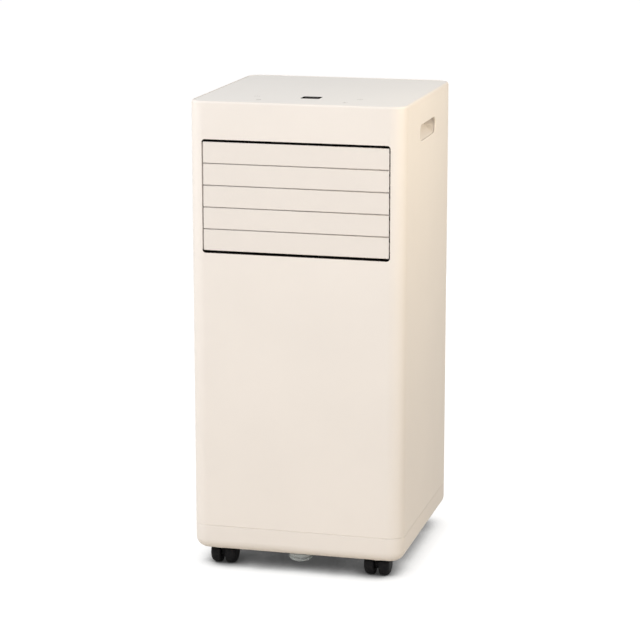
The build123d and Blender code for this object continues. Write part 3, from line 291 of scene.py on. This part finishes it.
def foil(name, colour):
    """Aluminium foil: bright, with streaks drawn out along its height."""
    finish, tree, shader, place = start_finish(name)
    drawn = fit(tree, "Mapping", {"Vector": place, "Scale": (1.0, 1.0, 0.03)}).outputs["Vector"]
    streak = speckle(tree, drawn, scale=420.0, detail=4.0)
    fill(tree, shader, Base_Color=blend_ramp(tree, streak, (0.3, shade(colour, 0.82)), (0.7, colour)),
         Roughness=spread(tree, streak, 0.30, 0.50), Metallic=1.0,
         Normal=relief(tree, streak, strength=0.25, depth=0.00003))
    return finish


def joined(shapes):
    """Several shapes, each an array of points and a list of faces, put into one."""
    points, faces, count = [], [], 0
    for corners, rings in shapes:
        points.append(corners)
        faces += [[count + k for k in ring] for ring in rings]
        count += len(corners)
    return np.concatenate(points), faces


def carried(path, sides, ups, profile, closed=False):
    """A closed profile carried along a path: path point + profile x along the side + profile y along the up
    direction, with quads between neighbours and flat caps on open ends."""
    runs, turns = len(path), len(profile)
    points = path[:, None] + profile[None, :, :1] * sides[:, None] + profile[None, :, 1:] * ups[:, None]
    i = np.arange(runs if closed else runs - 1)[:, None]
    j = np.arange(turns)[None, :]
    after, beside = (i + 1) % runs, (j + 1) % turns
    quads = np.stack([i * turns + j, i * turns + beside, after * turns + beside, after * turns + j], -1)
    faces = quads.reshape(-1, 4).tolist()
    if not closed:
        faces += [list(range(turns))[::-1], list(range((runs - 1) * turns, runs * turns))]
    return points.reshape(-1, 3), faces


def piece(name, shape, body, finish, crease=40):
    """A new piece from points and faces, with its faces turned outwards, on a body."""
    mesh = bpy.data.meshes.new(name)
    mesh.from_pydata(shape[0].tolist(), [], shape[1])
    work = bmesh.new()
    work.from_mesh(mesh)
    bmesh.ops.recalc_face_normals(work, faces=work.faces)
    work.to_mesh(mesh)
    work.free()
    mesh.shade_smooth()
    mesh.set_sharp_from_angle(angle=radians(crease))
    mesh.materials.append(finish)
    shown = bpy.data.objects.new(name, mesh)
    bpy.context.scene.collection.objects.link(shown)
    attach(shown, body)
    return shown


def fin_pack(node, pitch=0.002, gauge=0.00025, fold=0.0009, folds=8):
    """Fins side by side over a node's box: each is a zigzag strip across the depth, x = fold times the
    zigzag, carried up the height."""
    low, high = (np.array(corner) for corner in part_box(node))
    depth = np.linspace(low[1], high[1], folds + 1)
    zigzag = fold * (np.arange(folds + 1) % 2 - 0.5)
    left = np.stack([zigzag - gauge / 2, depth], 1)
    right = np.stack([zigzag + gauge / 2, depth], 1)
    strip = np.concatenate([left, right[::-1]])
    edge = fold / 2 + gauge / 2
    count = int((high[0] - low[0] - 2 * edge) / pitch) + 1
    places = np.linspace(low[0] + edge, high[0] - edge, count)
    along, across = np.array([1.0, 0, 0]), np.array([0, 1.0, 0])
    return joined([carried(np.array([[x, 0, low[2]], [x, 0, high[2]]]), np.tile(along, (2, 1)),
                           np.tile(across, (2, 1)), strip) for x in places])


copper_tube = copper("copper_tube", (0.74, 0.40, 0.27), (0.36, 0.18, 0.12))
fin_foil = foil("fin_foil", (0.80, 0.81, 0.82))
for coil in ("evaporator", "condenser"):
    pack = fin_pack(f"{coil}_fins")
    fins = piece(f"{coil}_fin_pack", pack, "cabinet", fin_foil, crease=10)
    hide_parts(f"{coil}_fins")
    soften(f"{coil}_bends", "cabinet", copper_tube)
soften("refrigerant_pipes", "cabinet", copper_tube)


# Deck, blowers and splash wheel
# The deck, both blower casings and the wheels are plain polypropylene mouldings: grey-white where they carry
# air, dark grey where they turn. The splash wheel sits in the sump and throws its water on the condenser.
grey_casing = moulded("grey_casing", (0.62, 0.63, 0.64), 0.46, grain=0.0012, drift=0.06)
grey_fan = moulded("grey_fan", (0.062, 0.066, 0.072), 0.40, grain=0.0010, drift=0.10)
put_on(grey_casing, "drip_deck", "cold_blower_casing", "hot_blower_casing")
put_on(grey_fan, "cold_blower_wheel", "hot_blower_wheel", "splash_wheel")


# Outlet duct and louver
# The duct behind the louver is a dark moulding, and dark strips along the opening's long edges are painted
# shade, so that its gaps read as dark lines. The five slats are cream like the shell, a touch glossier, and
# painted a touch darker as shade; a link joins their cranks.
def oblong(left, right, low, high):
    """The four corners of a rectangular section."""
    return np.array([[left, low], [right, low], [right, high], [left, high]])


dark_duct_and_painted_shade = moulded("dark_duct_and_painted_shade", (0.022, 0.016, 0.012), 0.55, drift=0.15)
# The slats' cream is the shell's cream painted 4.5% darker, as painted shade.
cream_slat_painted_shade = moulded("cream_slat_painted_shade", shade(cream, 0.955), 0.44, grain=0.0009, depth=0.000012)
put_on(dark_duct_and_painted_shade, "outlet_duct", "louver_link", "exhaust_duct")
for slat in range(1, 6):
    soften(f"louver_slat_{slat}", f"louver_slat_{slat}", cream_slat_painted_shade)

duct_low, duct_high = (np.array(corner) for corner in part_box("outlet_duct"))
duct_side, duct_room = 0.0025, 0.0080
opening_x = duct_high[0] - duct_side
opening_corner = 0.005
# Dark strips of painted shade along the opening's long edges: their thickness and their span behind the front
# face.
painted_shade_skin, painted_shade_front, painted_shade_back = 0.0004, 0.0003, 0.0030
turn = np.linspace(0, pi / 2, 9)
front_face = solid_box[0][1]
strips = []
for way, edge in ((1, duct_high[2] - duct_room), (-1, duct_low[2] + duct_room)):
    right = np.stack([opening_x - opening_corner + opening_corner * np.cos(turn),
                      edge - way * (opening_corner - opening_corner * np.sin(turn))], 1)
    left = right[::-1] * np.array([-1, 1])
    line = np.concatenate([right, left])
    inward = np.concatenate([np.stack([-np.cos(turn), -way * np.sin(turn)], 1),
                             np.stack([np.cos(turn), -way * np.sin(turn)], 1)[::-1]])
    path = np.stack([line[:, 0], np.full(len(line), front_face), line[:, 1]], 1)
    sides = np.stack([inward[:, 0], np.zeros(len(line)), inward[:, 1]], 1)
    ups = np.tile(np.array([0, 1.0, 0]), (len(line), 1))
    strips.append(carried(path, sides, ups, oblong(0, painted_shade_skin, painted_shade_front, painted_shade_back)))
# Painted shade: dark strips along the opening's top and bottom edges, just behind the front face.
piece("louver_painted_shade", joined(strips), "cabinet", dark_duct_and_painted_shade)


# Front shell and hand grips
# Front and both sides are one large moulding with generous corner radii, turned in at the louver's two ends;
# a scooped cup is welded behind each grip's mouth. All is the same cream plastic with the same matt grain.
cream_shell = moulded("cream_shell", cream, 0.50)
soften("front_shell", "cabinet", cream_shell)
soften("grip_cups", "cabinet", cream_shell)
turned_front, turned_back, turned_skin = 0.0031, 0.0070, 0.0004
straight_low = duct_low[2] + duct_room + opening_corner
straight_high = duct_high[2] - duct_room - opening_corner
turned = oblong(0, turned_skin, turned_front, turned_back)
edges = []
for side in (-1, 1):
    path = np.array([[side * opening_x, front_face, height] for height in (straight_low, straight_high)])
    edges.append(carried(path, np.tile([-side, 0, 0], (2, 1)), np.tile([0, 1, 0], (2, 1)), turned))
piece("louver_returns", joined(edges), "cabinet", cream_shell)


# Rear panel, grilles and screws
# The back is a second moulding, held to the shell's lugs by six screws with crossed heads. Two grilles unclip
# from it, each with a washable net behind its bars.
def turned_on(profile, around, centre):
    """A profile of radius and depth turned about an axis along +Y through a centre; the recess of a crossed
    driver is pushed in where the top is within its arms."""
    angle = np.linspace(0, 2 * pi, around, endpoint=False)
    radius, depth = profile[:, :1], profile[:, 1:]
    x, z = radius * np.cos(angle), radius * np.sin(angle)
    arm, reach, sink, skin = 0.00045, 0.0022, 0.0011, 0.0001
    inside = (np.minimum(abs(x), abs(z)) < arm) & (radius < reach) & (depth > profile[0, 1] - skin)
    y = depth - sink * inside
    points = np.stack([x + centre[0], y + centre[1], z + centre[2]], -1)
    rows, columns = len(profile), around
    i, j = np.arange(rows - 1)[:, None], np.arange(columns)[None, :]
    after, beside = i + 1, (j + 1) % columns
    quads = np.stack([i * columns + j, i * columns + beside, after * columns + beside, after * columns + j], -1)
    ends = [list(range(columns)), list(range((rows - 1) * columns, rows * columns))]
    return points.reshape(-1, 3), quads.reshape(-1, 4).tolist() + ends


def woven(node, pitch=0.0026, wire=0.00022):
    """A net over a node's box: wires both ways, each a square section carried along a line that steps over
    and under the wires it crosses, in a flat rim."""
    low, high = (np.array(corner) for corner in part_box(node))
    middle = (low[1] + high[1]) / 2
    square = oblong(-wire, wire, -wire, wire)
    rim = 0.003
    shapes = []
    for along, across in ((0, 2), (2, 0)):
        crossings = int((high[along] - low[along] - 2 * rim) / pitch) + 1
        lines = int((high[across] - low[across] - 2 * rim) / pitch) + 1
        run = np.linspace(low[along] + rim / 2, high[along] - rim / 2, crossings)
        for k, place in enumerate(np.linspace(low[across] + rim, high[across] - rim, lines)):
            path = np.zeros((crossings, 3))
            path[:, along] = run
            path[:, across] = place
            path[:, 1] = middle + wire * (1 - 2 * ((np.arange(crossings) + k + along) % 2))
            side = np.zeros((crossings, 3))
            side[:, across] = 1.0
            up = np.zeros((crossings, 3))
            up[:, 1] = 1.0
            shapes.append(carried(path, side, up, square))
    corners = oblong(low[0], high[0], low[2], high[2])
    outward = oblong(-1, 1, -1, 1)
    path = np.stack([corners[:, 0], np.full(4, middle), corners[:, 1]], 1)
    side = np.stack([-outward[:, 0], np.zeros(4), -outward[:, 1]], 1).astype(float)
    up = np.tile(np.array([0, 1.0, 0]), (4, 1))
    half = (high[1] - low[1]) / 2
    shapes.append(carried(path, side, up, oblong(0, rim, -half, half), closed=True))
    return joined(shapes)


net_black = moulded("net_black", (0.035, 0.036, 0.038), 0.55, drift=0.2)
soften("rear_panel", "cabinet", cream_shell)
for level in ("upper", "lower"):
    soften(f"{level}_grille", f"{level}_filter_grille", cream_shell)
    wires = woven(f"{level}_filter")
    net = piece(f"{level}_filter_net", wires, f"{level}_filter_grille", net_black)
    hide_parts(f"{level}_filter")

screw_low, screw_high = (np.array(corner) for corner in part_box("panel_screws"))
head, shank, tip = 0.0037, 0.0020, 0.0006
head_height, tip_length = 0.0020, 0.002
face_inner, face_outer, face_rings = 0.00005, 0.0029, 14
brow, brow_drop, rim_drop = 0.0034, 0.0003, 0.0008
screw_heights = (0.0905, 0.385, 0.655)
head_top, screw_end = screw_high[1], screw_low[1]
head_places = [(side * (screw_high[0] - head), z) for z in screw_heights for side in (-1, 1)]
face = np.stack([np.linspace(face_inner, face_outer, face_rings), np.full(face_rings, head_top)], 1)
below = np.array([[brow, head_top - brow_drop], [head, head_top - rim_drop], [head, head_top - head_height],
                  [shank, head_top - head_height], [shank, screw_end + tip_length], [tip, screw_end]])
screw_profile = np.concatenate([face, below])
six_screws = joined([turned_on(screw_profile, 40, (x, 0, z)) for x, z in head_places])
screws = piece("crossed_screws", six_screws, "cabinet", zinc_plate)
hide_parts("panel_screws")


# Top cover, keys, display and board
# The lid is a satin greyish moulding that drops into the rim. Its four keys are of the same plastic and carry
# printed signs; the smoked window shows two figures. The board with its switches hangs below.
def smoked(name, colour):
    """Smoked window: dull black plastic with faint wiping marks."""
    finish, tree, shader, place = start_finish(name)
    wipes = speckle(tree, place, scale=140.0, detail=5.0)
    fill(tree, shader, Base_Color=blend_ramp(tree, wipes, (0.4, colour), (0.8, shade(colour, 1.6))),
         Roughness=spread(tree, wipes, 0.45, 0.60), Specular_IOR_Level=0.0)
    return finish


def circuit(name, mask, trace):
    """Solder mask with paler copper tracks under it, laid as a brick pattern of thin joints."""
    finish, tree, shader, place = start_finish(name)
    tracks = fit(tree, "TexBrick", {"Vector": place, "Color1": (*mask, 1), "Color2": (*shade(mask, 0.85), 1),
                                    "Mortar": (*trace, 1), "Scale": 160.0, "Mortar Size": 0.03})
    fill(tree, shader, Base_Color=tracks.outputs["Color"], Roughness=0.32,
         Normal=relief(tree, tracks.outputs["Fac"], strength=0.3, depth=0.00004))
    return finish


def stroke(line, width, lift, thickness, closed=False):
    """A printed line in the plan: a flat section carried along points x, y at a height."""
    line = np.asarray(line, float)
    ahead = (np.roll(line, -1, 0) - np.roll(line, 1, 0)) if closed else np.gradient(line, axis=0)
    ahead /= np.linalg.norm(ahead, axis=1, keepdims=True)
    side = np.stack([-ahead[:, 1], ahead[:, 0], np.zeros(len(line))], 1)
    up = np.tile(np.array([0, 0, 1.0]), (len(line), 1))
    path = np.column_stack([line, np.full(len(line), lift)])
    return carried(path, side, up, oblong(-width / 2, width / 2, 0, thickness), closed)


def arc(radius, start, end, count=40):
    """Points on a circle about the origin, between two angles in degrees."""
    angle = np.radians(np.linspace(start, end, count))
    return radius * np.stack([np.cos(angle), np.sin(angle)], 1)


def spoke(angle, inner, outer):
    """Two points on a ray from the origin."""
    way = np.array([cos(radians(angle)), sin(radians(angle))])
    return np.stack([inner * way, outer * way])


def sign_lines(sign):
    """Lines of a key's sign about its middle, in metres: each is a list of points and whether it closes."""
    size = 0.0038
    ring = (arc(size, 0, 360, 49)[:-1], True)
    if sign == "key_power":
        return [(arc(size, 125, 415), False), (spoke(90, 0.3 * size, 1.15 * size), False)]
    if sign == "key_timer":
        return [ring, (spoke(90, 0, 0.65 * size), False), (spoke(0, 0, 0.5 * size), False)]
    if sign == "key_fan_speed":
        swing = np.linspace(0, pi, 24)
        blade = np.stack([size * np.sin(swing), 0.42 * size * np.sin(2 * swing) * np.sin(swing / 2)], 1)[:-1]
        turns = [np.array([[cos(a), -sin(a)], [sin(a), cos(a)]]) for a in radians(120) * np.arange(3)]
        return [(blade @ turn.T, False) for turn in turns]
    arms = [(spoke(a, 0.0, 1.1 * size), False) for a in range(0, 360, 60)]
    barbs = [(np.stack([spoke(a, 0, 0.6 * size)[1], spoke(a + tilt, 0, size)[1]]), False)
             for a in range(0, 360, 60) for tilt in (-16, 16)]
    return arms + barbs


grey_cover = moulded("grey_cover", (0.805, 0.788, 0.770), 0.42, grain=0.0005, depth=0.00001, drift=0.012)
print_ink = moulded("print_ink", (0.42, 0.40, 0.385), 0.60, drift=0.05)
figure_grey = moulded("figure_grey", (0.022, 0.022, 0.023), 0.40, drift=0.05, specular=0.15)
soften("top_cover", "cabinet", grey_cover)
put_on(circuit("green_board", (0.010, 0.085, 0.035), (0.03, 0.20, 0.09)), "control_board")
soften("display_window", "cabinet", smoked("smoked_black", (0.012, 0.009, 0.008)))
ink, sign_width = 0.00004, 0.00045
for key in ("key_power", "key_mode", "key_fan_speed", "key_timer"):
    soften(key, key, grey_cover)
    low, high = (np.array(corner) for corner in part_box(key))
    middle = (low + high)[:2] / 2
    sign = joined([stroke(line + middle, sign_width, high[2], ink, closed) for line, closed in sign_lines(key)])
    piece(f"sign_{key}", sign, key, print_ink)

low, high = (np.array(corner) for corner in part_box("display_window"))
middle = (low + high)[:2] / 2
digit_height, digit_width, digit_offset = 0.0120, 0.0062, 0.0052
bar, figure_gap = 0.0011, 0.0006
half_wide, half_tall = digit_width / 2, digit_height / 4
bars = []
for digit in (-1, 1):
    centre = middle + np.array([digit * digit_offset, 0])
    flats = [np.array([[-half_wide + figure_gap, y], [half_wide - figure_gap, y]])
             for y in (-2 * half_tall, 0, 2 * half_tall)]
    uprights = [np.array([[x, y - half_tall + figure_gap], [x, y + half_tall - figure_gap]])
                for x in (-half_wide, half_wide) for y in (-half_tall, half_tall)]
    bars += [stroke(line + centre, bar, high[2], ink) for line in flats + uprights]
piece("display_figures", joined(bars), "cabinet", figure_grey)


# Studio
# A white floor that runs out of view under an even white sky, a broad soft lamp high in front and four weaker
# ones: a warm one on the right, one for the left edge, one above and one behind. Near the object the floor's
# colour and glow are painted darker from ambient occlusion: a painted contact shadow.
def seen_directly(tree):
    """1 where the ray comes from the camera or has passed through or off something glossy."""
    path = fit(tree, "LightPath")
    either = fit(tree, "Math", {0: path.outputs["Is Camera Ray"], 1: path.outputs["Is Glossy Ray"]},
                 operation="MAXIMUM")
    return fit(tree, "Math", {0: either.outputs[0], 1: path.outputs["Is Transmission Ray"]},
               operation="MAXIMUM").outputs[0]


def softbox(name, place, width, power, colour, mirrored=True):
    """A square lamp turned to the object's middle, hidden from the camera and, if not mirrored, from gloss."""
    lamp_data = bpy.data.lights.new(name, "AREA")
    lamp_data.energy = power
    lamp_data.size = width
    lamp_data.color = colour
    lamp = bpy.data.objects.new(name, lamp_data)
    bpy.context.scene.collection.objects.link(lamp)
    lamp.location = place
    aim = Vector((0, 0, 0.40))
    lamp.rotation_euler = (Vector(place) - aim).to_track_quat("Z", "Y").to_euler()
    lamp.visible_camera = False
    lamp.visible_glossy = mirrored


floor_reach = 14.0
floor_mesh = bpy.data.meshes.new("floor")
corner = floor_reach * np.array([[-1, -1, 0], [1, -1, 0], [1, 1, 0], [-1, 1, 0]])
floor_mesh.from_pydata(corner.tolist(), [], [[0, 1, 2, 3]])
floor = bpy.data.objects.new("floor", floor_mesh)
bpy.context.scene.collection.objects.link(floor)
floor_white, floor_tree, floor_shader, _ = start_finish("floor_white")
floor_seen = seen_directly(floor_tree)
openness = fit(floor_tree, "AmbientOcclusion", {"Distance": 0.06}).outputs["AO"]
paper = (1.0, 1.0, 1.0)
glow, matt_share, bounce = 0.93, 0.20, (0.72, 0.67, 0.585, 1.0)
# Painted shadow: the floor's colour and glow darken with the ambient occlusion, under and beside the object.
tone = blend_ramp(floor_tree, openness, (0.10, shade(paper, 0.03)), (0.20, shade(paper, 0.07)),
                  (0.35, shade(paper, 0.27)), (0.55, shade(paper, 0.80)), (0.80, paper))
matt = fit(floor_tree, "VectorMath", {0: tone, 1: shade(paper, matt_share)}, operation="MULTIPLY").outputs[0]
colour = fit(floor_tree, "Mix", {0: floor_seen, 6: bounce, 7: matt}, data_type="RGBA").outputs[2]
lift = spread(floor_tree, floor_seen, 0.0, glow)
fill(floor_tree, floor_shader, Base_Color=colour, Roughness=0.9, Specular_IOR_Level=0.0, Emission_Color=tone,
     Emission_Strength=lift)
floor_mesh.materials.append(floor_white)

scene = bpy.context.scene
scene.view_settings.view_transform = "Standard"
sky = bpy.data.worlds.new("studio")
scene.world = sky
sky.use_nodes = True
sky_tree = sky.node_tree
sky_seen = seen_directly(sky_tree)
fill(sky_tree, sky_tree.nodes["Background"], Strength=spread(sky_tree, sky_seen, 0.40, 1.0),
     Color=blend_ramp(sky_tree, sky_seen, (0.0, (1.0, 0.97, 0.93)), (1.0, (1.0, 1.0, 1.0))))
softbox("key_lamp", (-0.16, -2.25, 1.75), 1.4, 36.5, (1.0, 0.99, 0.98), mirrored=False)
softbox("fill_lamp", (0.75, -0.15, 0.85), 0.5, 3.0, (1.0, 0.85, 0.62))
softbox("edge_lamp", (-1.39, -0.25, 0.96), 0.8, 7.5, (1.0, 0.99, 0.97))
softbox("top_lamp", (0.0, 0.0, 2.20), 1.2, 2.8, (1.0, 1.0, 1.0))
softbox("rear_lamp", (0.0, 2.10, 0.42), 0.5, 8.0, (1.0, 0.98, 0.95))

camera_data = bpy.data.cameras.new("camera")
camera_data.sensor_width = 36.0
camera_data.lens = 133.91
camera_data.clip_end = 100.0
camera = bpy.data.objects.new("camera", camera_data)
scene.collection.objects.link(camera)
view_azimuth, view_elevation, view_distance = radians(14.40), radians(12.66), 3.610
target = Vector((-0.0052, -0.0016, 0.3501))
back = Vector((sin(view_azimuth) * cos(view_elevation), -cos(view_azimuth) * cos(view_elevation),
               sin(view_elevation)))
camera.location = target + view_distance * back
camera.rotation_euler = back.to_track_quat("Z", "Y").to_euler()
scene.camera = camera
